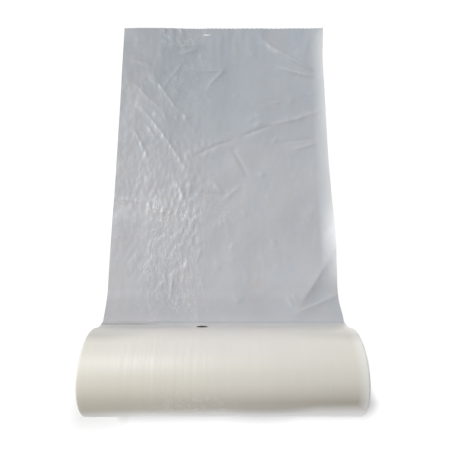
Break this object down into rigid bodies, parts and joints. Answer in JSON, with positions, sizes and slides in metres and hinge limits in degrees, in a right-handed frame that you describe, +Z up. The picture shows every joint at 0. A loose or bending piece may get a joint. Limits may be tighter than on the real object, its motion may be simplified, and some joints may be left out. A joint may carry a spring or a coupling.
{
  "type": "roll of plastic bags",
  "caption": "Roll of tear-off plastic film bags on a paperboard core, lying on its side with one crumpled bag unrolled flat behind it.",
  "frame": {"origin": "middle of the roll's flat spot, on the surface it lies on, straight under the core's axis", "axes": "+X along the core, +Y towards the free end of the unrolled bag, +Z up"},
  "size_m": [0.308, 0.5383, 0.0952],
  "materials": {
    "paperboard": "matte spiral-wound greyboard",
    "wound_film": "milky cream, satin, many layers of film",
    "loose_film": "translucent grey-blue film with fine wrinkles and a soft gloss"
  },
  "bodies": {
    "root": {"core_tube": "paperboard", "wound_bags": "wound_film", "leading_bag": "loose_film"}
  },
  "joints": []
}
